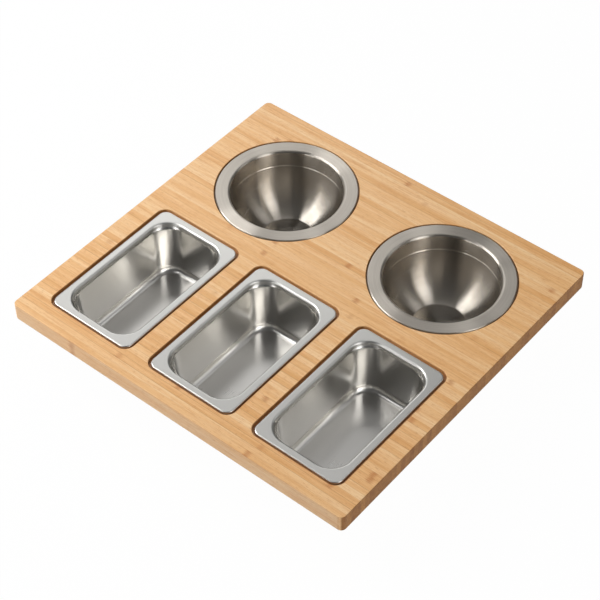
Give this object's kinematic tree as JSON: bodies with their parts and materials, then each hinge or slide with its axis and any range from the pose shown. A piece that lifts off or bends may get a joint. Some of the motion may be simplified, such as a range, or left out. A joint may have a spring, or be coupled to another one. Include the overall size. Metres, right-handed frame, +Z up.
{
  "type": "sink cutting board with lift-out trays and bowls",
  "caption": "Rectangular bamboo board for a workstation sink, with a row of lift-out rectangular steel trays in front and a row of lift-out round steel bowls behind.",
  "frame": {"origin": "centre of the board's underside, the face that lies on the sink's ledges", "axes": "+X along the board's front edge, to the right as the picture shows it; +Y from the trays to the bowls; +Z up, out of the inserts"},
  "size_m": [0.438, 0.413, 0.0738],
  "materials": {
    "bamboo": "sanded bamboo with a thin oil finish, fine fibres along X and a slight sheen",
    "tray_steel": "pressed stainless steel, satin rim and floor, brighter rounded corners",
    "bowl_steel": "spun stainless steel, brushed in circles on the rim and foot, bright wall"
  },
  "bodies": {
    "board": {"stave_01": "bamboo", "stave_02": "bamboo", "stave_03": "bamboo", "stave_04": "bamboo", "stave_05": "bamboo", "stave_06": "bamboo", "stave_07": "bamboo", "stave_08": "bamboo", "stave_09": "bamboo", "stave_10": "bamboo", "stave_11": "bamboo", "stave_12": "bamboo", "stave_13": "bamboo", "stave_14": "bamboo", "stave_15": "bamboo", "stave_16": "bamboo", "stave_17": "bamboo", "stave_18": "bamboo", "stave_19": "bamboo", "stave_20": "bamboo", "stave_21": "bamboo"},
    "left_tray": {"left_tray": "tray_steel"},
    "middle_tray": {"middle_tray": "tray_steel"},
    "right_tray": {"right_tray": "tray_steel"},
    "left_bowl": {"left_bowl": "bowl_steel"},
    "right_bowl": {"right_bowl": "bowl_steel"}
  },
  "joints": [
    {"name": "left_tray_lift", "type": "slide", "parent": "board", "child": "left_tray", "axis": [0, 0, 1], "range_m": [0, 0.075]},
    {"name": "middle_tray_lift", "type": "slide", "parent": "board", "child": "middle_tray", "axis": [0, 0, 1], "range_m": [0, 0.075]},
    {"name": "right_tray_lift", "type": "slide", "parent": "board", "child": "right_tray", "axis": [0, 0, 1], "range_m": [0, 0.075]},
    {"name": "left_bowl_lift", "type": "slide", "parent": "board", "child": "left_bowl", "axis": [0, 0, 1], "range_m": [0, 0.08]},
    {"name": "right_bowl_lift", "type": "slide", "parent": "board", "child": "right_bowl", "axis": [0, 0, 1], "range_m": [0, 0.08]}
  ]
}
